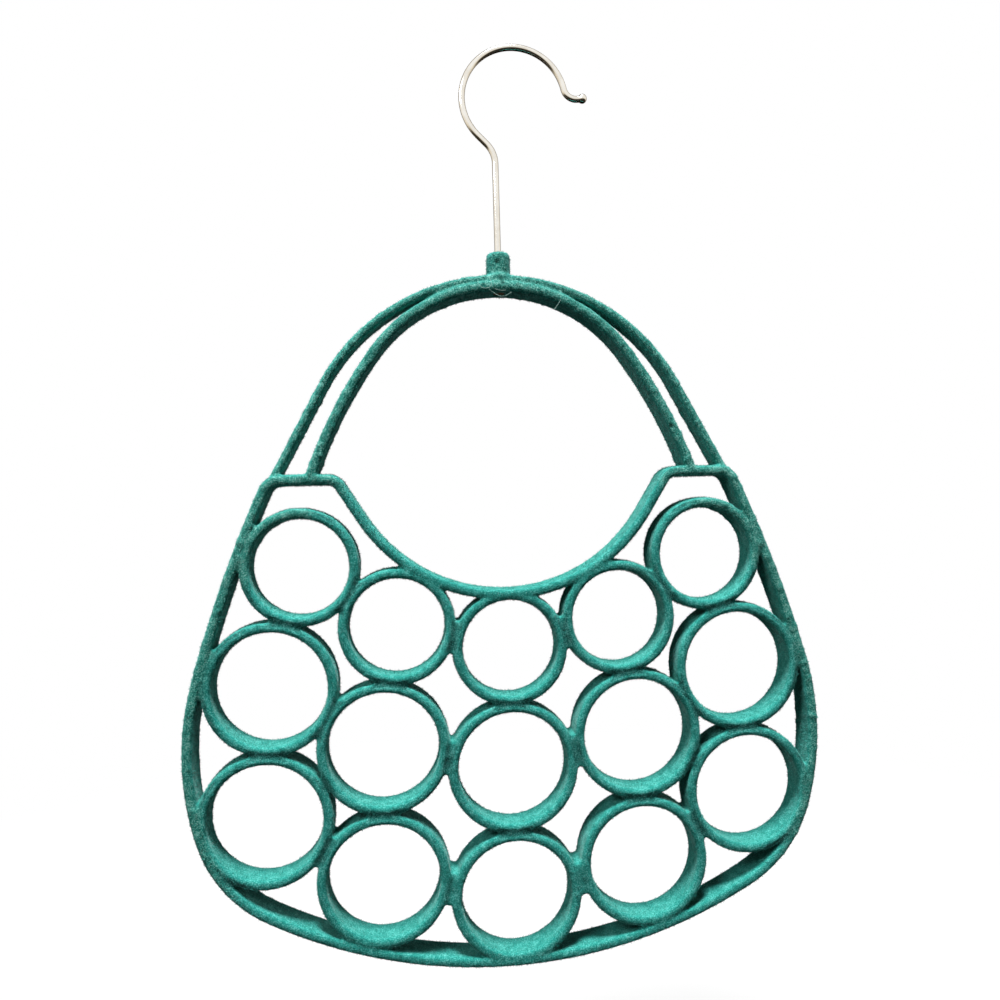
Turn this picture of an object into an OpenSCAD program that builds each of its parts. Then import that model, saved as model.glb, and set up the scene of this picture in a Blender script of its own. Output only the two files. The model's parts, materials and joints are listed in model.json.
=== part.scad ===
// Scarf hanger in the shape of a handbag: one flock-coated plastic moulding of rings
// and rails, hung from a wire hook that turns in the boss on top.
// Seen from the front, X is to the right, Y away and Z up. The origin is the inside top
// of the hook, where the rod lies. Heights in the sizes are above the bottom edge.

/* [Moulding] */
// Depth of the whole moulding, front to back
depth = 14; // [10:0.5:20]
// Rounding along the rims
edge_r = 1.3; // [0.5:0.1:1.6]
// Thickness of the rail round the body of the bag
rail_w = 4.2; // [3.6:0.1:6]
// Thickness of the outer handle rail
arch_w = 3.6; // [3.4:0.1:5]
// Depth of the outer handle rail, front to back
arch_depth = 11; // [8:0.5:14]
// Thickness of the inner handle bow
bow_w = 4.3; // [3.4:0.1:5]

/* [Rings] */
// Inner radius of the rings in the top row
small_r = 20.6; // [16:0.1:22]
// Inner radius of the rings in the two lower rows
large_r = 23.8; // [20:0.1:25]
// Thickness of a ring's wall
ring_w = 4.1; // [3.4:0.1:5]
// Middle ring of the top row, height
top_z0 = 135.7; // [133:0.1:138]
// Second rings of the top row, sideways and height
top_1 = [48, 146.8]; // [40:0.1:150]
// Outer rings of the top row, sideways and height
top_2 = [87.8, 173.3]; // [80:0.1:180]
// Middle ring of the middle row, height
mid_z0 = 84.3; // [82:0.1:86]
// Second rings of the middle row, sideways and height
mid_1 = [55, 95.6]; // [50:0.1:100]
// Outer rings of the middle row, sideways and height
mid_2 = [101.2, 123.1]; // [98:0.1:126]
// Depth to which the middle ring of the bottom row runs into the bottom rail
low_sink = 2.9; // [1:0.1:3.6]
// Second rings of the bottom row, sideways and height
low_1 = [56.2, 40.2]; // [38:0.1:60]
// Outer rings of the bottom row, sideways and height
low_2 = [104.4, 68.3]; // [66:0.1:106]

/* [Webs] */
// Width of the webs that join ring to ring
web_w = 14; // [10:0.5:18]
// Width of the webs that join the rings to the rail and the neckline
rail_web_w = 21; // [16:0.5:26]
// Step from the rims down to the face of a web
web_step = 0.9; // [0.3:0.1:2]

/* [Body outline] */
// Half the width of the body at its widest
hip_x = 137.2; // [137:0.1:142]
// Height of the widest place
hip_z = 95; // [92:0.1:98]
// Outer radius of the hips
hip_r = 119.2; // [112:0.1:126]
// Turn of a hip above its widest place, in degrees
hip_rise = 15.9; // [15:0.1:17]
// Turn of a hip below its widest place, in degrees
hip_fall = 16.9; // [16:0.1:18]
// Outer radius of the long sides
side_r = 573; // [500:1:650]
// Outer radius of the bottom corners
corner_r = 57.3; // [54:0.1:60]
// Outer radius of the bottom edge
bottom_r = 218.6; // [205:0.1:226]
// Height of the crossbars, at their middle
crossbar_z = 210; // [206:0.1:214]
// Radius of the elbow from crossbar to side, at its middle
elbow_r = 7; // [4:0.1:9]
// Lowest point of the neckline, at its middle
neck_z = 158.7; // [158.7:0.1:160]
// Radius of the neckline, at its middle
neck_r = 72.6; // [70:0.1:76]
// Turn of the neckline, each side, in degrees
neck_turn = 58; // [54:0.5:62]
// Radius of the elbow from neckline to crossbar, at its middle
collar_r = 5.9; // [4:0.1:8]

/* [Handle] */
// Top of the crown, its outer edge
crown_z = 296.7; // [285:0.1:310]
// Outer radius of the crown
crown_r = 89.2; // [84:0.1:94]
// Place of the outer rail's foot on the crossbar, sideways at its middle
arch_foot = 96.9; // [95:0.1:98]
// Top of the inner bow's outer edge, below the top of the crown
bow_drop = 3.1; // [2:0.1:3.4]
// Outer radius of the inner bow at the top
bow_r = 69.6; // [66:0.1:73]
// Outer radius of the inner bow's limbs
limb_r = 212; // [180:1:260]
// Place of the inner bow's foot on the crossbar, sideways at its middle
bow_foot = 82.1; // [80:0.1:85]
// Half the width of the crown piece
crown_half = 34; // [30:0.5:40]
// Height of the seam between the handle and the crossbar, above the crossbar's top
foot_h = 2.5; // [1:0.1:4]
// Half the width of the middle piece of the crown, which carries the boss
boss_half = 8; // [6.5:0.5:12]
// Diameter of the boss
boss_d = 10.4; // [9:0.1:11.4]
// Height of the boss above the crown
boss_h = 10.4; // [8:0.1:16]
// Rounding of the boss's top edge
boss_edge = 1.8; // [1:0.1:2.2]
// Radius of the fillet at the foot of the boss
boss_fillet = 1; // [0.4:0.1:1.4]

/* [Hook] */
// Diameter of the hook wire
wire_d = 2.8; // [2.4:0.1:3.4]
// Height of the rod's seat above the boss
hook_h = 89.8; // [78:0.1:110]
// Inner radius of the hook
hook_r = 21.6; // [18:0.1:26]
// Distance of the hook's centre beside the shank
hook_x = 9; // [6:0.1:12]
// Slope of the neck below the hook, in degrees from upright
neck_slope = 45; // [40:1:50]
// Radius of the bend from shank to neck
shank_bend = 12; // [5:0.5:14]
// Angle on the hook where the tip turns outwards, in degrees above level
tip_start = 12.8; // [8:0.1:25]
// Radius of the turned tip
tip_r = 5.5; // [4:0.1:7]
// Turn of the tip, in degrees
tip_turn = 85; // [70:1:95]
// Straight wire between the turned tip and its ball
tip_run = 2.2; // [1:0.1:4]
// Diameter of the ball on the tip
ball_d = 4; // [3.4:0.1:5]
// Running clearance round the shank
shank_gap = 0.05; // [0.02:0.01:0.09]
// Diameter of the head under the crown
head_d = 5; // [4.4:0.1:6]
// Thickness of the head
head_h = 1.4; // [1:0.1:2]
// Clearance round the head in its pocket
head_gap = 0.3; // [0.2:0.05:0.5]

/* [Hidden] */
$fn = 96;

flock = [0.13, 0.58, 0.49];
chrome = [0.78, 0.77, 0.74];
// Length by which a cut or a root runs past the face that it ends at
eps = 1;
// Length and radius by which one length of wire passes into the next
lap = 0.2;
hair = 0.01;

// Outline on the right: the hip, and the arcs that touch it above and below. The bottom
// arc is centred and touches both corners.
half_rail = rail_w / 2;
function toward_angle(a) = [cos(a), sin(a)];
hip_c = [hip_x - hip_r, hip_z];
side_c = hip_c + (hip_r - side_r) * toward_angle(hip_rise);
corner_c = hip_c + (hip_r - corner_r) * toward_angle(-hip_fall);
bottom_c = [0, corner_c[1] + sqrt(pow(bottom_r - corner_r, 2) - pow(corner_c[0], 2))];
bottom_a = atan2(corner_c[0], bottom_c[1] - corner_c[1]);

// Rings by row and by place, -2 at the far left to 2 at the far right
low_z0 = bottom_c[1] - bottom_r + rail_w + large_r + ring_w - low_sink;
row_z0 = [top_z0, mid_z0, low_z0];
row_1 = [top_1, mid_1, low_1];
row_2 = [top_2, mid_2, low_2];
row_r = [small_r, large_r, large_r];
function seat(row, place) =
    place == 0 ? [0, row_z0[row]] :
    let (p = abs(place) == 1 ? row_1[row] : row_2[row]) [sign(place) * p[0], p[1]];

// The elbow touches the side arc from inside and the crossbar from below
side_m = side_r - half_rail;
elbow_z = crossbar_z - elbow_r;
elbow_c = [side_c[0] + sqrt(pow(side_m - elbow_r, 2) - pow(elbow_z - side_c[1], 2)), elbow_z];
elbow_a = atan2(elbow_z - side_c[1], elbow_c[0] - side_c[0]);

// Neckline: an arc, a straight run and the elbow to the crossbar
neck_c = [0, neck_z + neck_r];
neck_end = neck_c + neck_r * toward_angle(neck_turn - 90);
collar_rise = collar_r * (1 - cos(neck_turn));
neck_run = (crossbar_z - collar_rise - neck_end[1]) / sin(neck_turn);
collar_x = neck_end[0] + neck_run * cos(neck_turn) + collar_r * sin(neck_turn);
collar_c = [collar_x, crossbar_z - collar_r];
bar_top = crossbar_z + half_rail;
neck_edge = neck_r + half_rail;
web_depth = depth - 2 * web_step;

// Outer handle rail: an arc and the line from it to its foot, which touches the arc
arch_m = crown_r - arch_w / 2;
arch_c = [0, crown_z - crown_r];
arch_p = [arch_foot, bar_top];
arch_reach = norm(arch_p - arch_c);
arch_a = atan2(arch_p[1] - arch_c[1], arch_p[0]) + acos(arch_m / arch_reach);
arch_t = along(arch_c, arch_a, arch_m);
leg_a = toward(arch_p, arch_t);
// Length by which a leg runs into the crossbar
foot_in = half_rail;
foot_z = bar_top + foot_h;
crown_a = acos(crown_half / arch_m);

// Inner bow: the top arc, and limbs of a larger radius that touch it and end at the foot
bow_m = bow_r - bow_w / 2;
bow_c = [0, crown_z - bow_drop - bow_r];
limb_m = limb_r - bow_w / 2;
limb_p = [bow_foot, bar_top];
limb_span = norm(limb_p - bow_c);
limb_turn = acos((pow(limb_r - bow_r, 2) + limb_span * limb_span - limb_m * limb_m)
    / (2 * (limb_r - bow_r) * limb_span));
limb_back = atan2(limb_p[1] - bow_c[1], limb_p[0]) - limb_turn;
limb_c = along(bow_c, limb_back, limb_r - bow_r);
limb_a = limb_back + 180;
limb_low = atan2(limb_p[1] - limb_c[1], limb_p[0] - limb_c[0]);
limb_in = foot_in / limb_m * 180 / PI;
bow_a = acos(crown_half / bow_m);

// Hook: heights above the bottom edge
boss_top = crown_z + boss_h;
seat_z = boss_top + hook_h;
hook_m = hook_r + wire_d / 2;
hook_c = [hook_x, seat_z - hook_r];
neck_low = 180 + neck_slope;
neck_p = along(hook_c, neck_low, hook_m);
neck_wire = (-neck_p[0] - shank_bend * (1 - cos(neck_slope))) / sin(neck_slope);
shank_top = neck_p[1] - neck_wire * cos(neck_slope) - shank_bend * sin(neck_slope);
tip_c = along(hook_c, tip_start, hook_m + tip_r);
tip_low = 180 + tip_start + tip_turn;
tip_p = along(tip_c, tip_low, tip_r);
crown_low = crown_z - bow_drop - bow_w;
pocket_z = crown_low + head_h + head_gap;
head_top = pocket_z - shank_gap;

// Everything is drawn above the bottom edge, with the shank at X = 0, and then hung
// from the rod's seat
module hang() translate([-hook_x, 0, -seat_z]) children();
module moulding() color(flock) hang() children();
module mirrored(left) mirror([left ? 1 : 0, 0, 0]) children();

// Rounded section of a rail or of a ring's wall, w thick and d deep, centred
module section(w, d = depth) {
    square([w - 2 * edge_r, d], center = true);
    square([w, d - 2 * edge_r], center = true);
    for (x = [-1, 1], y = [-1, 1])
        translate([x * (w / 2 - edge_r), y * (d / 2 - edge_r)]) circle(edge_r, $fn = 24);
}

// Puts the plane of a sketch upright: sketch X to X, sketch Y to Z, about a point
module upright(c = [0, 0]) translate([c[0], 0, c[1]]) rotate([90, 0, 0]) children();

// Bar bent to radius r about a point, from angle a to angle b
module bent(c, r, w, a, b, d = depth) {
    upright(c) rotate([0, 0, a]) rotate_extrude(angle = b - a, $fn = 180)
        translate([r, 0]) section(w, d);
}

// Straight bar from point p to point q
module run(p, q, w, d = depth) {
    upright(p) rotate([0, 0, toward(p, q)]) rotate([0, 90, 0]) linear_extrude(apart(p, q))
        rotate([0, 0, 90]) section(w, d);
}

// Block from one distance to another along an angle from a point
module block(p, a, from, to, w, d) {
    upright(p) rotate([0, 0, a]) translate([from, -w / 2, -d / 2]) cube([to - from, w, d]);
}

// Everything above or below a level
module above(z) translate([-hip_x, -depth, z]) cube([2 * hip_x, 2 * depth, seat_z]);
module below(z) translate([-hip_x, -depth, z - seat_z]) cube([2 * hip_x, 2 * depth, seat_z]);

function apart(p, q) = norm(q - p);
function toward(p, q) = atan2(q[1] - p[1], q[0] - p[0]);
function along(p, a, l) = p + l * toward_angle(a);

// Contacts of a ring: angle and distance of the meeting plane, or of the rail's edge
function outer(row) = row_r[row] + ring_w;
function neighbours(row, place) = [
    for (q = [[row, place - 1], [row, place + 1], [row - 1, place], [row + 1, place]])
        if (q[0] >= 0 && q[0] < len(row_r) && abs(q[1]) <= 2) q
];
function plane(row, place, q) =
    let (p = seat(row, place), o = seat(q[0], q[1]))
    [toward(p, o), (apart(p, o) + outer(row) - outer(q[0])) / 2];
function to_rail(row, place, c, edge) =
    let (p = seat(row, place), o = [place < 0 ? -c[0] : c[0], c[1]])
    [toward(o, p), edge - apart(o, p)];
function to_neck(place) =
    let (p = seat(0, place)) [toward(p, neck_c), apart(p, neck_c) - neck_edge];

// Place of the rail that a ring leans on: middle and inner radius of its arc
function rail_contact(row, place) =
    row == 2 && abs(place) < 2 ? to_rail(row, place, bottom_c, bottom_r - rail_w) :
    abs(place) < 2 ? to_neck(place) :
    row == 2 ? to_rail(row, place, corner_c, corner_r - rail_w) :
    to_rail(row, place, side_c, side_r - rail_w);

// Room of one arc of the rail, from its inner edge outwards
module outward(c, r, a, b) {
    upright(c) rotate([0, 0, a]) rotate_extrude(angle = b - a, $fn = 360)
        translate([r - rail_w, -depth]) square([rail_w + web_w, 2 * depth]);
}
module rail_room(row, place) {
    if (row == 2 && abs(place) < 2) outward(bottom_c, bottom_r, -90 - bottom_a, bottom_a - 90);
    else if (abs(place) < 2) upright(neck_c) cylinder(r = neck_edge, h = 2 * depth, center = true, $fn = 360);
    else mirrored(place < 0) {
        if (row < 2) outward(side_c, side_r, hip_rise, elbow_a);
        if (row > 0) outward(hip_c, hip_r, -hip_fall, hip_rise);
        if (row == 2) outward(corner_c, corner_r, bottom_a - 90, -hip_fall);
    }
}

// One ring with its half of each web, cut flat where it meets the next ring and to the
// rail's edge where it meets the rail or the neckline
module ring(row, place) {
    p = seat(row, place);
    root = row_r[row] + ring_w / 4;
    planes = [for (q = neighbours(row, place)) plane(row, place, q)];
    on_rail = abs(place) == 2 || row != 1;
    lean = rail_contact(row, place);
    moulding() difference() {
        union() {
            upright(p) rotate_extrude() translate([row_r[row] + ring_w / 2, 0]) section(ring_w);
            for (t = planes) block(p, t[0], root, t[1] + eps, web_w, web_depth);
            if (on_rail) block(p, lean[0], root, lean[1] + ring_w, rail_web_w, web_depth);
        }
        for (t = planes) block(p, t[0], t[1], t[1] + 2 * ring_w, 2 * row_r[row], 2 * depth);
        if (on_rail) rail_room(row, place);
    }
}

// Body rail
module bottom_rail() moulding()
    bent(bottom_c, bottom_r - half_rail, rail_w, -90 - bottom_a, bottom_a - 90);
module corner_rail(left) moulding() mirrored(left)
    bent(corner_c, corner_r - half_rail, rail_w, bottom_a - 90, -hip_fall);
module hip_rail(left) moulding() mirrored(left)
    bent(hip_c, hip_r - half_rail, rail_w, -hip_fall, hip_rise);
module side_rail(left) moulding() mirrored(left)
    bent(side_c, side_m, rail_w, hip_rise, elbow_a);

// Leg of the outer handle rail and limb of the bow, from inside the crossbar upwards
module leg() run(along(arch_p, leg_a + 180, foot_in), arch_t, arch_w, arch_depth);
module limb() bent(limb_c, limb_m, bow_w, limb_low - limb_in, limb_a);
module crossbar(left) moulding() mirrored(left) {
    run([collar_x, crossbar_z], [elbow_c[0], crossbar_z], rail_w);
    bent(elbow_c, elbow_r, rail_w, elbow_a, 90);
    bent(collar_c, collar_r, rail_w, 90, 90 + neck_turn);
    difference() {
        union() {
            leg();
            limb();
        }
        above(foot_z);
    }
}
module neckline() moulding() bent(neck_c, neck_r, rail_w, -90 - neck_turn, neck_turn - 90);
module neck_side(left) moulding() mirrored(left)
    run(neck_end, along(neck_end, neck_turn, neck_run), rail_w);

// Handle above the seam: the outer rail's arc and leg, the bow's arc and limb
module arch(left) moulding() mirrored(left) bent(arch_c, arch_m, arch_w, arch_a, crown_a, arch_depth);
module arch_leg(left) moulding() mirrored(left) difference() {
    leg();
    below(foot_z);
}
module handle_bow(left) moulding() mirrored(left) bent(bow_c, bow_m, bow_w, limb_a, bow_a);
module bow_limb(left) moulding() mirrored(left) difference() {
    limb();
    below(foot_z);
}

// Crown: the outer rail and the bow run into each other here
module crown_bars(from) {
    bent(arch_c, arch_m, arch_w, crown_a, from, arch_depth);
    bent(bow_c, bow_m, bow_w, bow_a, from);
}
module crown(left) moulding() mirrored(left) difference() {
    crown_bars(90);
    translate([boss_half - hip_x, -depth, 0]) cube([hip_x, 2 * depth, seat_z]);
}

// Boss with the running bore for the shank and the pocket for its head
module boss_profile() {
    square([boss_d / 2 - boss_edge, boss_h]);
    square([boss_d / 2, boss_h - boss_edge]);
    translate([boss_d / 2 - boss_edge, boss_h - boss_edge]) circle(boss_edge, $fn = 48);
    translate([0, -bow_drop - edge_r]) square([boss_d / 2 + boss_fillet, bow_drop + edge_r]);
    difference() {
        square([boss_d / 2 + boss_fillet, boss_fillet]);
        translate([boss_d / 2 + boss_fillet, boss_fillet]) circle(boss_fillet, $fn = 48);
    }
}
module hook_boss() moulding() difference() {
    union() {
        intersection() {
            crown_bars(180 - crown_a);
            translate([-boss_half, -depth, 0]) cube([2 * boss_half, 2 * depth, seat_z]);
        }
        translate([0, 0, crown_z]) rotate_extrude() boss_profile();
    }
    cylinder(r = wire_d / 2 + shank_gap, h = seat_z);
    cylinder(d = head_d + 2 * head_gap, h = pocket_z);
}

// Hook: one wire with a head at the bottom and a ball at the tip. Neighbouring lengths
// differ by a hair in radius, and the thinner one passes into the end of the other.
module wire_arc(c, r, a, b, thinner) {
    turn = lap * 180 / (PI * r);
    upright(c) rotate([0, 0, a - turn]) rotate_extrude(angle = b - a + 2 * turn, $fn = 120)
        translate([r, 0]) circle(wire_d / 2 - thinner * hair, $fn = 32);
}
module wire_run(p, a, l) {
    upright(p) rotate([0, 0, a]) rotate([0, 90, 0]) cylinder(d = wire_d, h = l, $fn = 32);
}
module hook_wire() color(chrome) hang() {
    translate([0, 0, head_top - head_h]) cylinder(d = head_d, h = head_h, $fn = 48);
    translate([0, 0, head_top - lap]) cylinder(d = wire_d, h = shank_top - head_top + lap, $fn = 32);
    wire_arc([-shank_bend, shank_top], shank_bend, 0, neck_slope, 1);
    wire_run(neck_p, neck_slope - 90, neck_wire);
    wire_arc(hook_c, hook_m, tip_start, neck_low, 1);
    wire_arc(tip_c, tip_r, 180 + tip_start, tip_low, 2);
    wire_run(tip_p, tip_low + 90, tip_run);
    upright(along(tip_p, tip_low + 90, tip_run)) sphere(d = ball_d, $fn = 48);
}

// Nodes
module crown_left() crown(true);
module crown_right() crown(false);
module arch_left() arch(true);
module arch_right() arch(false);
module handle_bow_left() handle_bow(true);
module handle_bow_right() handle_bow(false);
module crossbar_left() crossbar(true);
module crossbar_right() crossbar(false);
module arch_leg_left() arch_leg(true);
module arch_leg_right() arch_leg(false);
module bow_limb_left() bow_limb(true);
module bow_limb_right() bow_limb(false);
module neck_side_left() neck_side(true);
module neck_side_right() neck_side(false);
module side_rail_left() side_rail(true);
module side_rail_right() side_rail(false);
module hip_rail_left() hip_rail(true);
module hip_rail_right() hip_rail(false);
module corner_rail_left() corner_rail(true);
module corner_rail_right() corner_rail(false);
module ring_top_far_left() ring(0, -2);
module ring_top_left() ring(0, -1);
module ring_top_middle() ring(0, 0);
module ring_top_right() ring(0, 1);
module ring_top_far_right() ring(0, 2);
module ring_mid_far_left() ring(1, -2);
module ring_mid_left() ring(1, -1);
module ring_mid_middle() ring(1, 0);
module ring_mid_right() ring(1, 1);
module ring_mid_far_right() ring(1, 2);
module ring_low_far_left() ring(2, -2);
module ring_low_left() ring(2, -1);
module ring_low_middle() ring(2, 0);
module ring_low_right() ring(2, 1);
module ring_low_far_right() ring(2, 2);

hook_wire();
hook_boss();
crown_left();
crown_right();
arch_left();
arch_right();
handle_bow_left();
handle_bow_right();
crossbar_left();
crossbar_right();
neckline();
arch_leg_left();
arch_leg_right();
bow_limb_left();
bow_limb_right();
neck_side_left();
neck_side_right();
hip_rail_left();
hip_rail_right();
side_rail_left();
side_rail_right();
corner_rail_left();
corner_rail_right();
bottom_rail();
ring_top_far_left();
ring_top_left();
ring_top_middle();
ring_top_right();
ring_top_far_right();
ring_mid_far_left();
ring_mid_left();
ring_mid_middle();
ring_mid_right();
ring_mid_far_right();
ring_low_far_left();
ring_low_left();
ring_low_middle();
ring_low_right();
ring_low_far_right();
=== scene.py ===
import bpy, bmesh, json, math
import numpy as np
from mathutils import Matrix, Vector, noise
from mathutils.bvhtree import BVHTree


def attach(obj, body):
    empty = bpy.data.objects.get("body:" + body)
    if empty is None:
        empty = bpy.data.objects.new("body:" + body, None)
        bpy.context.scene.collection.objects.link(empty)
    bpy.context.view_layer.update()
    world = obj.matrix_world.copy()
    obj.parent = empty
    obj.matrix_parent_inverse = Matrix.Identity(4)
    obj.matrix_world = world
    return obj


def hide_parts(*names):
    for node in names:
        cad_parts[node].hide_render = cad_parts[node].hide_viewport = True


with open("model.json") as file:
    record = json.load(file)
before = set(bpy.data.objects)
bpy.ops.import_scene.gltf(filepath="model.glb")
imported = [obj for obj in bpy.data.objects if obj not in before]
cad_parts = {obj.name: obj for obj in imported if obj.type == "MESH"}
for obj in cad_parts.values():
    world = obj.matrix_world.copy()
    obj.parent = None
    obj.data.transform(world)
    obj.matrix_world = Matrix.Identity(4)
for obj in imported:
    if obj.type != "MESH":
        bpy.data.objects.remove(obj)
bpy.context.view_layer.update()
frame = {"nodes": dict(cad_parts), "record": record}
nodes = frame["nodes"]
millimetre = 0.001


def linearColour(code):  # sRGB hex to the linear values that a shader takes
    parts = [int(code[start:start + 2], 16) / 255 for start in (1, 3, 5)]
    return tuple(p / 12.92 if p <= 0.04045 else ((p + 0.055) / 1.055) ** 2.4 for p in parts) + (1.0,)


def addNode(tree, kind, settings=None, links=None):
    # settings are the node's own or its sockets' values, links join a socket to another node's output
    node = tree.nodes.new(kind)
    for name, value in (settings or {}).items():
        if isinstance(name, str) and hasattr(node, name):
            setattr(node, name, value)
        else:
            node.inputs[name].default_value = value
    for name, source in (links or {}).items():
        tree.links.new(source, node.inputs[name])
    return node


def newMaterial(name):
    material = bpy.data.materials.new(name)
    material.use_nodes = True
    material.node_tree.nodes.clear()
    return material, material.node_tree


def fillRamp(ramp, stops):
    # stops are places and colours, from the first to the last
    for element, (place, code) in zip(ramp.elements, (stops[0], stops[-1])):
        element.position, element.color = place, linearColour(code)
    for place, code in stops[1:-1]:
        ramp.elements.new(place).color = linearColour(code)


def newPiece(name, mesh):
    piece = bpy.data.objects.new(name, mesh)
    bpy.context.scene.collection.objects.link(piece)
    return piece


def evaluatedMesh(piece):
    bpy.context.view_layer.update()
    return bpy.data.meshes.new_from_object(piece.evaluated_get(bpy.context.evaluated_depsgraph_get()))


# --- camera: a short lens close to the hanger, a little to the left and level with its crossbars
view = {
    "place": (-48.9, -344.7, -200.0),  # millimetres from the rod's seat
    "pitch": -0.41, "yaw": -6.26, "roll": -1.58,  # degrees
    "lens": 28.58, "sensor": 36, "nearest": 0.01,
}


def placeCamera():
    camera = bpy.data.objects.new("camera", bpy.data.cameras.new("camera"))
    bpy.context.scene.collection.objects.link(camera)
    camera.data.sensor_width = view["sensor"]
    camera.data.lens = view["lens"]
    camera.data.clip_start = view["nearest"]
    turn = (Matrix.Rotation(math.radians(view["roll"]), 3, "Z")
            @ Matrix.Rotation(math.radians(view["yaw"]), 3, "Y")
            @ Matrix.Rotation(math.radians(view["pitch"]), 3, "X"))
    upright = Matrix(((1, 0, 0), (0, 0, -1), (0, 1, 0)))
    looking = Matrix(((1, 0, 0), (0, -1, 0), (0, 0, -1)))
    aim = (looking @ turn @ upright).transposed().to_4x4()
    camera.matrix_world = Matrix.Translation(Vector(view["place"]) * millimetre) @ aim
    bpy.context.scene.camera = camera


placeCamera()
print("camera placed")

# --- flocked skin of the moulding
skin = {
    "voxel": 0.55,       # mesh size, millimetres
    "overlap": 0.03,     # members grow by this, so that they run into each other, millimetres
    "soften": 12, "softening": 0.5,         # smoothing passes that round the creases off as the flock does
    "lumpHeight": 0.16, "lumpSize": 2.2,    # uneven flock, millimetres
    "grainHeight": 0.2, "grainSize": 0.75,
}
flock = {
    "density": 1.3,      # tufts to a square millimetre: real flock has hundreds, too fine to show
    "length": 0.75, "width": 0.22,  # millimetres, drawn coarser than real fibres of 0.5 by 0.02
    "lean": 38,          # degrees from the surface's normal
    "sizes": (0.5, 1.15),   # smallest and largest tuft, as shares of the above
    "seed": 4,
    "face": ("#0d4a43", "#1f857a", "#72c9bf", 0.3),   # dark, middle and pale flock, and its sheen
    # the tufts' flock, drawn paler than the face: a painted highlight on the fibre tips
    "tips": ("#15675e", "#2c8f84", "#84d0c6", 0.4),
    "speckle": 2100.0, "patches": 330.0,    # noise cells to a metre: fibre clumps of 0.5 mm, patches of 3 mm
    "patchShare": 0.25,
    "stops": (0.34, 0.5, 0.66),             # where dark, middle and pale lie in that noise
    "rough": (0.65, 1.0),                   # share of the speckle on smooth and on matted flock
    "bump": (0.5, 0.0004),                  # strength and height, metres
    "sheenTint": "#cfeae5",
}


def flockMaterial(name, low, middle, high, sheen):
    # nylon flock on glue: no gloss, light catches the fibre tips at a slant and the depths swallow it
    material, tree = newMaterial(name)
    place = addNode(tree, "ShaderNodeTexCoord").outputs["Object"]
    speckle = addNode(tree, "ShaderNodeTexNoise", {"Scale": flock["speckle"], "Detail": 2.0, "Roughness": 0.6},
                      {"Vector": place})
    patches = addNode(tree, "ShaderNodeTexNoise", {"Scale": flock["patches"], "Detail": 2.0, "Roughness": 0.5},
                      {"Vector": place})
    blend = addNode(tree, "ShaderNodeMix", {"data_type": "FLOAT", 0: flock["patchShare"]},
                    {2: speckle.outputs["Fac"], 3: patches.outputs["Fac"]})
    ramp = addNode(tree, "ShaderNodeValToRGB", {}, {"Fac": blend.outputs[0]})
    fillRamp(ramp.color_ramp, list(zip(flock["stops"], (low, middle, high))))
    tone = addNode(tree, "ShaderNodeAttribute", {"attribute_name": "tone"})
    matted = addNode(tree, "ShaderNodeMapRange", {"To Min": flock["rough"][0], "To Max": flock["rough"][1]},
                     {"Value": tone.outputs["Alpha"]})
    speckled = addNode(tree, "ShaderNodeMix", {"data_type": "RGBA", 6: linearColour(middle)},
                       {0: matted.outputs[0], 7: ramp.outputs["Color"]})
    tinted = addNode(tree, "ShaderNodeMix", {"data_type": "RGBA", "blend_type": "MULTIPLY", 0: 1.0},
                     {6: speckled.outputs[2], 7: tone.outputs["Color"]})
    bump = addNode(tree, "ShaderNodeBump", {"Strength": flock["bump"][0], "Distance": flock["bump"][1]},
                   {"Height": speckle.outputs["Fac"]})
    shader = addNode(tree, "ShaderNodeBsdfPrincipled", {
        "Roughness": 0.92, "Specular IOR Level": 0.18, "Sheen Weight": sheen, "Sheen Roughness": 0.4,
        "Sheen Tint": linearColour(flock["sheenTint"])},
        {"Base Color": tinted.outputs[2], "Normal": bump.outputs["Normal"]})
    addNode(tree, "ShaderNodeOutputMaterial", {}, {"Surface": shader.outputs["BSDF"]})
    return material


flockFace = flockMaterial("nylonFlock", *flock["face"])
# the tips material is a paler copy of the face: painted highlight
flockTips = flockMaterial("nylonFlockTips", *flock["tips"])


def joinedMembers(names):
    # copies of the members' solids, merged and grown by a hair
    whole, owner = bmesh.new(), []
    for index, name in enumerate(names):
        part = bmesh.new()
        part.from_mesh(nodes[name].data)
        bmesh.ops.remove_doubles(part, verts=part.verts, dist=1e-6)
        part.normal_update()
        for vertex in part.verts:
            vertex.co += vertex.normal * skin["overlap"] * millimetre
        temporary = bpy.data.meshes.new("member")
        part.to_mesh(temporary)
        owner += [index] * len(temporary.polygons)
        whole.from_mesh(temporary)
        part.free()
        bpy.data.meshes.remove(temporary)
    return whole, owner


def cloudTexture(name, size):
    texture = bpy.data.textures.new(name, "CLOUDS")
    texture.noise_scale = size * millimetre
    texture.noise_depth = 1
    return texture


def meshPoints(mesh, source="vertices", field="co"):
    # coordinates of a mesh's vertices, normals or faces, one row each
    items = getattr(mesh, source)
    flat = np.zeros(len(items) * 3)
    items.foreach_get(field, flat)
    return flat.reshape(-1, 3)


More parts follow.
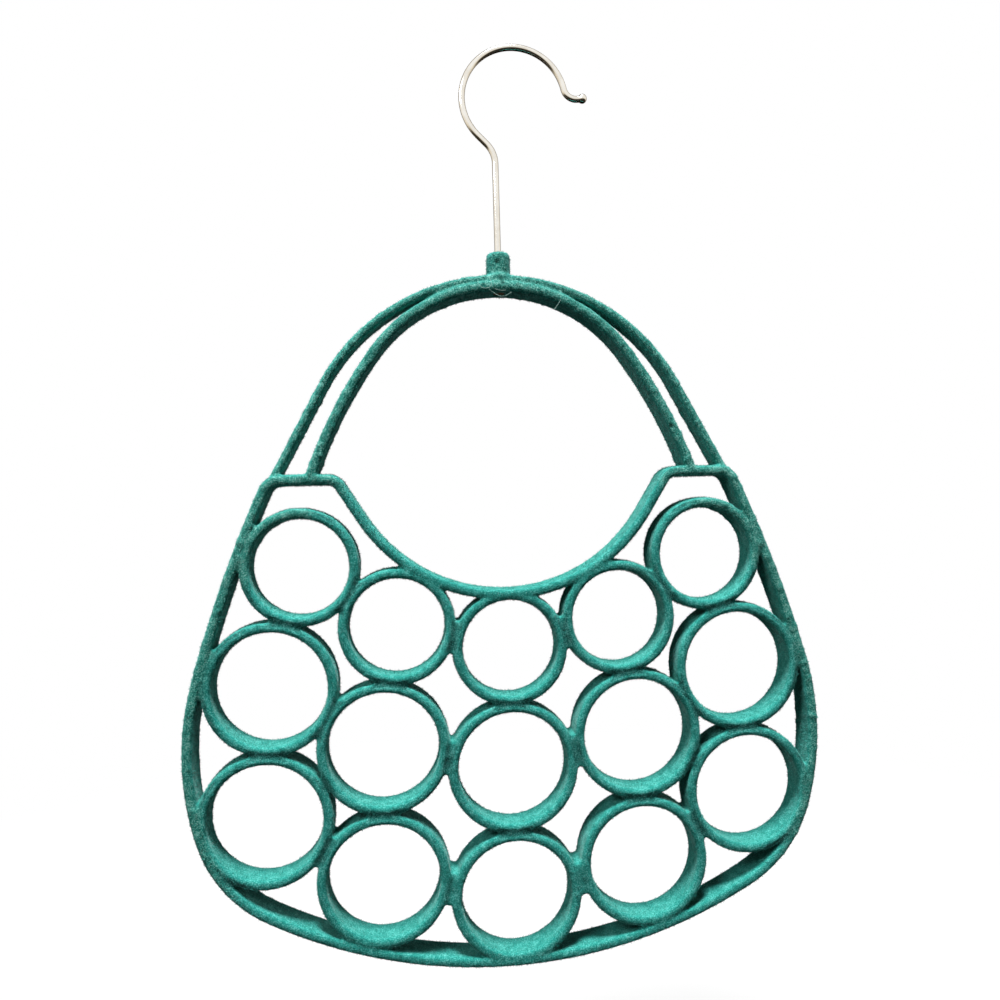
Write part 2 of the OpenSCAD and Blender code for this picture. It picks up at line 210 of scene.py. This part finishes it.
def flockedSkin(names):
    # one uneven skin over all the members, and for each of its faces the member that it lies on
    whole, owner = joinedMembers(names)
    tree = BVHTree.FromBMesh(whole)
    mesh = bpy.data.meshes.new("skin")
    whole.to_mesh(mesh)
    whole.free()
    piece = newPiece("skin", mesh)
    remesh = piece.modifiers.new("remesh", "REMESH")
    remesh.mode = "VOXEL"
    remesh.voxel_size = skin["voxel"] * millimetre
    piece.data = evaluatedMesh(piece)
    piece.modifiers.clear()
    soften = piece.modifiers.new("soften", "SMOOTH")
    soften.factor = skin["softening"]
    soften.iterations = skin["soften"]
    for label in ("lump", "grain"):
        displace = piece.modifiers.new(label, "DISPLACE")
        displace.texture = cloudTexture(label, skin[label + "Size"])
        displace.strength = skin[label + "Height"] * millimetre
        displace.mid_level = 0.5
    mesh = evaluatedMesh(piece)
    bpy.data.objects.remove(piece)
    centres = meshPoints(mesh, "polygons", "center")
    return mesh, np.array([owner[tree.find_nearest(Vector(centre))[2]] for centre in centres])


body = {
    # the body's outline as a rounded shape, millimetres from the seat: its middle, and how far it reaches
    "middle": (-9, -301.9), "flat": 18, "reach": (119.2, 128),
    "neck": (-9, -165.6),  # centre of the neckline
}
marks = {
    # marks in the flock: place on the front in millimetres from the seat, width
    "dimples": [(-119.9, -242.4, 2.6), (-52.3, -365.7, 2.2), (-85.4, -385.7, 2.2), (-141.9, -220.9, 2.4),
                (64.8, -167.2, 2.0), (55.1, -152.7, 2.0), (-83.9, -112.7, 2.0), (-10.0, -94.7, 2.2),
                (-7.9, -104.3, 1.6)],
    # dimples are dented and drawn darker: painted shade in the dents
    "dimpleDepth": 0.45, "dimpleEdge": 1.3, "dimplePaintedShade": 0.6, "dimpleFront": -3,
    "worn": [(46.6, -232.7, 9.0), (76.6, -228.7, 7.0)],
    "wornShift": (0.25, -0.28, -0.32), "wornFront": -5,  # towards brown, on the front face alone
    "faceSlope": (3, 1.6),         # how sharply the marks end where the rims round off
    "webs": (1.9, 2.8, 5.2, 6.2),  # webs start and end this far outside a bore, millimetres
    "meeting": (8.8, 10.4),        # two rings meet where their distances add up to less, millimetres
    "nearRail": (0.87, 0.9), "railEdge": (0.93, 0.97),  # shares of the body's half width
    "webPaintedShade": 0.6,       # painted shade where ring meets ring: their flock is drawn darker there, and matted
    "webSink": 0.3,        # and lies a little deeper, millimetres
    "neckline": 75.5,      # radius within which the webs end, millimetres
    "railMatted": 0.8, "railShade": (1.5, 0.97, 0.93),   # the outer rails are rubbed rough and grey
    "crown": (-114, -108, -101, -99), "crownPaintedShade": 0.86,  # heights between which the crown top is drawn darker: painted shade under the key lamp
    "burrSize": 3.4, "burrHeight": 0.55, "burrStart": 0.15,  # clots of glue along the outer rails
}


def bodySpan(places):
    # distance from the middle of the body as a share of its half width, about 1 on the outer rail
    aside = np.abs(places[:, 0] - body["middle"][0])
    above = places[:, 2] - body["middle"][1]
    return np.hypot(np.maximum(aside - body["flat"], 0) / body["reach"][0], above / body["reach"][1])


def ringWebs(places):
    # 1 where ring runs into ring or into the body's rail, 0 on the free rims and on the neckline
    bores = [mount for mount in frame["record"]["mounts"] if mount["kind"] == "bore"]
    outside = np.empty((len(bores), len(places)))
    for row, bore in zip(outside, bores):
        centre = np.array(bore["pos_m"]) / millimetre
        row[:] = np.hypot(places[:, 0] - centre[0], places[:, 2] - centre[2]) - bore["dims"]["r_mm"]
    outside.sort(axis=0)
    meeting = np.interp(outside[0] + outside[1], marks["meeting"], (1, 0))
    nearRail = np.interp(bodySpan(places), marks["nearRail"], (0, 1))
    neck = np.hypot(places[:, 0] - body["neck"][0], places[:, 2] - body["neck"][1])
    web = np.interp(outside[0], marks["webs"], (0, 1, 1, 0)) * np.maximum(meeting, nearRail)
    return web * np.clip(neck - marks["neckline"], 0, 1)


def paintTone(mesh):
    # tone multiplies the flock's colour: painted shade on the webs, in the dimples and on the crown, brown where
    # worn; its alpha tells how rough and matted the flock is
    places = meshPoints(mesh) / millimetre
    slants = meshPoints(mesh, "vertex_normals", "vector")
    level = np.clip(np.abs(slants[:, 1]) * marks["faceSlope"][0] - marks["faceSlope"][1], 0, 1)
    rail = np.interp(bodySpan(places), marks["railEdge"], (0, 1))
    web = ringWebs(places) * level * (1 - rail)
    burrs = np.array([noise.noise(Vector(point) / marks["burrSize"]) for point in places])
    burrs = np.clip(burrs - marks["burrStart"], 0, 1) * rail * marks["burrHeight"]
    places += slants * (burrs - web * marks["webSink"])[:, None]
    rail *= level
    tone = np.ones((len(places), 4))
    # painted shade on the webs between the rings
    tone[:, :3] -= (1 - marks["webPaintedShade"]) * web[:, None]
    tone[:, :3] *= 1 - rail[:, None] * (1 - np.array(marks["railShade"]))
    # painted shade: the crown top drawn darker
    crown = np.interp(places[:, 2], marks["crown"], (0, 1, 1, 0))
    tone[:, :3] *= 1 - (1 - marks["crownPaintedShade"]) * crown[:, None]
    tone[:, 3] = np.maximum(web, marks["railMatted"] * rail)
    for x, z, width in marks["dimples"]:
        away = np.hypot(places[:, 0] - x, places[:, 2] - z) / (width / 2)
        near = np.clip(marks["dimpleEdge"] - away, 0, 1) * (places[:, 1] < marks["dimpleFront"])
        places[:, 1] += near * marks["dimpleDepth"]
        # painted shade in the dents
        tone[:, :3] *= (1 - marks["dimplePaintedShade"] * near)[:, None]
    for x, z, width in marks["worn"]:
        away = (places[:, 0] - x) ** 2 + (places[:, 2] - z) ** 2
        near = np.exp(-away / (width / 2) ** 2) * (places[:, 1] < marks["wornFront"])
        tone[:, :3] *= 1 + near[:, None] * np.array(marks["wornShift"])
    mesh.vertices.foreach_set("co", (places * millimetre).ravel())
    layer = mesh.color_attributes.new("tone", "FLOAT_COLOR", "POINT")
    layer.data.foreach_set("color", tone.ravel())


def splitSkin(mesh, member, names):
    # one shell for each member; neighbours share the border's vertices and normals, so that no seam shows
    corners = np.zeros(len(mesh.loops), int)
    mesh.loops.foreach_get("vertex_index", corners)
    corners = corners.reshape(-1, 4)
    places = meshPoints(mesh)
    slants = meshPoints(mesh, "vertex_normals", "vector")
    tones = np.zeros(len(mesh.vertices) * 4)
    mesh.color_attributes["tone"].data.foreach_get("color", tones)
    tones = tones.reshape(-1, 4)
    pieces = []
    for index, name in enumerate(names):
        faces = corners[member == index]
        used, local = np.unique(faces, return_inverse=True)
        part = bpy.data.meshes.new(name)
        part.from_pydata(places[used].tolist(), [], local.reshape(-1, 4).tolist())
        layer = part.color_attributes.new("tone", "FLOAT_COLOR", "POINT")
        layer.data.foreach_set("color", tones[used].ravel())
        part.polygons.foreach_set("use_smooth", [True] * len(part.polygons))
        part.normals_split_custom_set_from_vertices(slants[used].tolist())
        pieces.append(newPiece(name + "_flocked", part))
    return pieces


def tuftTree():
    # short leaning tufts spread over the skin
    tree = bpy.data.node_groups.new("flockTufts", "GeometryNodeTree")
    sockets = {}
    tree.interface.new_socket("Geometry", in_out="INPUT", socket_type="NodeSocketGeometry")
    for label, kind in (("Density", "NodeSocketFloat"), ("Length", "NodeSocketFloat"), ("Width", "NodeSocketFloat"),
                        ("Lean", "NodeSocketFloat"), ("Seed", "NodeSocketInt"), ("Material", "NodeSocketMaterial")):
        sockets[label] = tree.interface.new_socket(label, in_out="INPUT", socket_type=kind).identifier
    tree.interface.new_socket("Geometry", in_out="OUTPUT", socket_type="NodeSocketGeometry")
    given = tree.nodes.new("NodeGroupInput").outputs
    spread = addNode(tree, "GeometryNodeDistributePointsOnFaces", {"distribute_method": "RANDOM"},
                     {"Mesh": given["Geometry"], "Density": given["Density"], "Seed": given["Seed"]})
    tuft = addNode(tree, "GeometryNodeMeshCone", {"Vertices": 3, "Radius Top": 0.0, "fill_type": "NONE"},
                   {"Radius Bottom": given["Width"], "Depth": given["Length"]})
    downLean = addNode(tree, "ShaderNodeMath", {"operation": "MULTIPLY", 1: -1.0}, {0: given["Lean"]})
    low = addNode(tree, "ShaderNodeCombineXYZ", {"Z": -math.pi},
                  {"X": downLean.outputs[0], "Y": downLean.outputs[0]})
    high = addNode(tree, "ShaderNodeCombineXYZ", {"Z": math.pi}, {"X": given["Lean"], "Y": given["Lean"]})
    lean = addNode(tree, "FunctionNodeRandomValue", {"data_type": "FLOAT_VECTOR"},
                   {0: low.outputs[0], 1: high.outputs[0], "Seed": given["Seed"]})
    turn = addNode(tree, "FunctionNodeRotateRotation", {"rotation_space": "LOCAL"},
                   {0: spread.outputs["Rotation"], 1: lean.outputs[0]})
    size = addNode(tree, "FunctionNodeRandomValue",
                   {"data_type": "FLOAT", 2: flock["sizes"][0], 3: flock["sizes"][1]}, {"Seed": given["Seed"]})
    placed = addNode(tree, "GeometryNodeInstanceOnPoints", {},
                     {"Points": spread.outputs["Points"], "Instance": tuft.outputs["Mesh"],
                      "Rotation": turn.outputs[0], "Scale": size.outputs[1]})
    real = addNode(tree, "GeometryNodeRealizeInstances", {}, {"Geometry": placed.outputs[0]})
    coated = addNode(tree, "GeometryNodeSetMaterial", {},
                     {"Geometry": real.outputs[0], "Material": given["Material"]})
    tree.links.new(coated.outputs[0], tree.nodes.new("NodeGroupOutput").inputs[0])
    return tree, sockets


def growTufts(name, mesh, tree, sockets, material, seed):
    # a piece of its own with the tufts that stand on this mesh
    piece = newPiece(name, mesh)
    grow = piece.modifiers.new("tufts", "NODES")
    grow.node_group = tree
    for label, value in (("Density", flock["density"] * 1e6), ("Length", flock["length"] * millimetre),
                         ("Width", flock["width"] / 2 * millimetre), ("Lean", math.radians(flock["lean"])),
                         ("Seed", seed), ("Material", material)):
        grow[sockets[label]] = value
    grown = evaluatedMesh(piece)
    piece.modifiers.clear()
    piece.data = grown
    return piece


memberNames = [name for name in nodes if name != "hook_wire"]
skinMesh, memberOf = flockedSkin(memberNames)
paintTone(skinMesh)
print("flocked skin:", len(skinMesh.polygons), "faces")
skinPieces = splitSkin(skinMesh, memberOf, memberNames)
tufts, tuftSockets = tuftTree()
for index, piece in enumerate(skinPieces):
    name = memberNames[index]
    furred = growTufts(name + "_tufts", piece.data.copy(), tufts, tuftSockets, flockTips, flock["seed"] + index)
    for done in (piece, furred):
        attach(done, "frame")
    piece.data.materials.append(flockFace)
    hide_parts(name)
bpy.data.meshes.remove(skinMesh)
print("tufts grown")

# --- a few loose pale fibres caught on the crown
lint = {
    "paths": [[(-18.8, -103.7), (-18.4, -105.9), (-16.1, -107.2), (-13.5, -106.5), (-12.6, -104.7),
               (-13.8, -102.9)],
              [(-14.1, -107.3), (-11.8, -109.2), (-9.2, -110.6), (-6.4, -110.0), (-4.5, -108.6)],
              [(-11.6, -107.1), (-9.4, -108.3), (-7.0, -107.7)],
              [(16.8, -111.9), (15.8, -113.7), (13.9, -116.1)]],  # x and z, millimetres from the seat
    "front": -8.0,     # just clear of the flock
    "thickness": 0.13,  # drawn thicker than lint of 0.03, so that it shows
    "colour": "#a5c8be", "roughness": 0.8,
}


def looseFibres():
    # undyed polyester lint: thin, pale and dull
    curve = bpy.data.curves.new("lint", "CURVE")
    curve.dimensions = "3D"
    curve.bevel_depth = lint["thickness"] / 2 * millimetre
    curve.bevel_resolution = 1
    curve.use_fill_caps = True
    for path in lint["paths"]:
        spline = curve.splines.new("NURBS")
        spline.points.add(len(path) - 1)
        for point, (x, z) in zip(spline.points, path):
            point.co = (x * millimetre, lint["front"] * millimetre, z * millimetre, 1)
        spline.use_endpoint_u = True
        spline.order_u = 3
        spline.resolution_u = 6
    bent = newPiece("lint", curve)
    fibres = newPiece("loose_fibres", evaluatedMesh(bent))
    bpy.data.objects.remove(bent)
    material, tree = newMaterial("polyesterLint")
    shader = addNode(tree, "ShaderNodeBsdfPrincipled", {
        "Base Color": linearColour(lint["colour"]), "Roughness": lint["roughness"]})
    addNode(tree, "ShaderNodeOutputMaterial", {}, {"Surface": shader.outputs["BSDF"]})
    fibres.data.materials.clear()
    fibres.data.materials.append(material)
    return fibres


fibres = looseFibres()
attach(fibres, "frame")
print("lint caught")

# --- hook: steel wire, bent cold and plated
plating = {
    "colour": "#fbfaf6", "streak": "#ded8cc",
    "roughness": (0.07, 0.15),      # smooth and drawn places
    "drawn": 260.0,                 # noise cells to a metre: draw marks of 4 mm, drawn coarse so that they show
    "bump": (0.08, 0.0001),         # strength and height, metres
}


def platedMaterial():
    # nickel-chrome on drawn wire: a near mirror with faint lengthwise draw marks and a warm cast
    material, tree = newMaterial("nickelChromeWire")
    place = addNode(tree, "ShaderNodeTexCoord").outputs["Object"]
    drawn = addNode(tree, "ShaderNodeTexNoise", {"Scale": plating["drawn"], "Detail": 2.0}, {"Vector": place})
    tint = addNode(tree, "ShaderNodeMix", {"data_type": "RGBA", 6: linearColour(plating["colour"]),
                                           7: linearColour(plating["streak"])}, {0: drawn.outputs["Fac"]})
    rough = addNode(tree, "ShaderNodeMapRange",
                    {"To Min": plating["roughness"][0], "To Max": plating["roughness"][1]},
                    {"Value": drawn.outputs["Fac"]})
    bump = addNode(tree, "ShaderNodeBump", {"Strength": plating["bump"][0], "Distance": plating["bump"][1]},
                   {"Height": drawn.outputs["Fac"]})
    shader = addNode(tree, "ShaderNodeBsdfPrincipled", {"Metallic": 1.0},
                     {"Base Color": tint.outputs[2], "Roughness": rough.outputs[0],
                      "Normal": bump.outputs["Normal"]})
    addNode(tree, "ShaderNodeOutputMaterial", {}, {"Surface": shader.outputs["BSDF"]})
    return material


hookObject = nodes["hook_wire"]
hookObject.data.materials.clear()
hookObject.data.materials.append(platedMaterial())
print("hook plated")

# --- studio: white all round the camera's view, soft lamps above, to the left and, weakly, behind
studio = {
    "floorLevel": -0.47, "floorSize": 3.0, "floorColour": "#f4f4f2",
    "floorGlow": (0.9, 1.0),      # share of plain white in the floor, under the hanger and far off
    "glowReach": (0.15, 0.6),     # where that share starts and ends to rise, metres
    "worldStrength": 0.06, "worldColour": (0.93, 0.97, 1.0, 1.0),
    # the room that the wire mirrors: its walls all the way round, and how bright it is from floor to ceiling
    "walls": [(0.0, "#ffffff"), (0.26, "#fffaf2"), (0.36, "#a9a196"), (0.44, "#3f3a33"), (0.56, "#3f3a33"),
              (0.66, "#a9a196"), (0.76, "#fffaf2"), (1.0, "#ffffff")],
    "heights": [(0.0, "#26231f"), (0.32, "#3c3832"), (0.42, "#efe8da"), (0.6, "#ffffff"), (1.0, "#ffffff")],
    "aim": (0, 0, -0.22),         # where the lamps point, metres
    # lamps: place, size, power and colour
    "key": ((-0.05, -0.45, 1.55), 0.4, 84.0, "#fcfdff"),
    "fill": ((-0.75, -0.6, 0.55), 0.4, 6.0, "#ffffff"),
    "back": ((0.25, 1.1, -0.2), 0.4, 3.2, "#ffffff"),  # weak, so the far side doesn't sink into black
}


def studioFloor():
    # pale floor far below; to the camera it fades into the plain white all round
    mesh = bpy.data.meshes.new("floor")
    half = studio["floorSize"] / 2
    mesh.from_pydata([(-half, -half, 0), (half, -half, 0), (half, half, 0), (-half, half, 0)], [], [(0, 1, 2, 3)])
    floor = newPiece("floor", mesh)
    floor.location.z = studio["floorLevel"]
    material, tree = newMaterial("paleFloor")
    rays = addNode(tree, "ShaderNodeLightPath").outputs
    place = addNode(tree, "ShaderNodeTexCoord").outputs["Object"]
    away = addNode(tree, "ShaderNodeVectorMath", {"operation": "LENGTH"}, {0: place})
    glowShare = addNode(tree, "ShaderNodeMapRange", {
        "From Min": studio["glowReach"][0], "From Max": studio["glowReach"][1],
        "To Min": studio["floorGlow"][0], "To Max": studio["floorGlow"][1]}, {"Value": away.outputs["Value"]})
    share = addNode(tree, "ShaderNodeMath", {"operation": "MULTIPLY"},
                    {0: rays["Is Camera Ray"], 1: glowShare.outputs[0]})
    paint = addNode(tree, "ShaderNodeBsdfDiffuse", {"Color": linearColour(studio["floorColour"])})
    glow = addNode(tree, "ShaderNodeEmission", {"Color": (1, 1, 1, 1), "Strength": 1.0})
    both = addNode(tree, "ShaderNodeMixShader", {}, {0: share.outputs[0], 1: paint.outputs[0], 2: glow.outputs[0]})
    addNode(tree, "ShaderNodeOutputMaterial", {}, {"Surface": both.outputs[0]})
    floor.data.materials.append(material)
    floor.visible_glossy = floor.visible_diffuse = False  # dark ground all round: no light comes back up


def studioWorld():
    # white to the camera; the wire mirrors a room with a pale ceiling, a dark ground and dark gaps
    world = bpy.data.worlds.new("studio")
    world.use_nodes = True
    tree = world.node_tree
    tree.nodes.clear()
    rays = addNode(tree, "ShaderNodeLightPath").outputs
    way = addNode(tree, "ShaderNodeTexCoord").outputs["Generated"]
    parts = addNode(tree, "ShaderNodeSeparateXYZ", {}, {0: way}).outputs
    turn = addNode(tree, "ShaderNodeMath", {"operation": "ARCTAN2"}, {0: parts["X"], 1: parts["Y"]})
    compass = addNode(tree, "ShaderNodeMapRange", {"From Min": -math.pi, "From Max": math.pi},
                      {"Value": turn.outputs[0]})
    walls = addNode(tree, "ShaderNodeValToRGB", {}, {"Fac": compass.outputs[0]})
    fillRamp(walls.color_ramp, studio["walls"])
    height = addNode(tree, "ShaderNodeMapRange", {"From Min": -1.0, "From Max": 1.0}, {"Value": parts["Z"]})
    ceiling = addNode(tree, "ShaderNodeValToRGB", {}, {"Fac": height.outputs[0]})
    fillRamp(ceiling.color_ramp, studio["heights"])
    room = addNode(tree, "ShaderNodeMix", {"data_type": "RGBA", "blend_type": "MULTIPLY", 0: 1.0},
                   {6: walls.outputs["Color"], 7: ceiling.outputs["Color"]})
    white = addNode(tree, "ShaderNodeBackground", {"Color": (1, 1, 1, 1), "Strength": 1.0})
    soft = addNode(tree, "ShaderNodeBackground",
                   {"Color": studio["worldColour"], "Strength": studio["worldStrength"]})
    mirrored = addNode(tree, "ShaderNodeBackground", {"Strength": 1.0}, {"Color": room.outputs[2]})
    lit = addNode(tree, "ShaderNodeMixShader", {},
                  {0: rays["Is Glossy Ray"], 1: soft.outputs[0], 2: mirrored.outputs[0]})
    seen = addNode(tree, "ShaderNodeMath", {"operation": "MAXIMUM"},
                   {0: rays["Is Camera Ray"], 1: rays["Is Transmission Ray"]})
    both = addNode(tree, "ShaderNodeMixShader", {}, {0: seen.outputs[0], 1: lit.outputs[0], 2: white.outputs[0]})
    addNode(tree, "ShaderNodeOutputWorld", {}, {"Surface": both.outputs[0]})
    bpy.context.scene.world = world


def studioLamp(name, place, size, power, colour):
    lamp = bpy.data.lights.new(name, "AREA")
    lamp.size, lamp.energy, lamp.color = size, power, linearColour(colour)[:3]
    holder = bpy.data.objects.new(name, lamp)
    bpy.context.scene.collection.objects.link(holder)
    holder.visible_camera = False
    holder.visible_glossy = name != "back"  # the wire mirrors the room, not this lamp
    holder.location = place
    aim = Vector(studio["aim"]) - Vector(place)
    holder.rotation_euler = aim.to_track_quat("-Z", "Y").to_euler()


studioFloor()
studioWorld()
for name in ("key", "fill", "back"):
    studioLamp(name, *studio[name])
bpy.context.scene.view_settings.view_transform = "Standard"
print("studio lit")
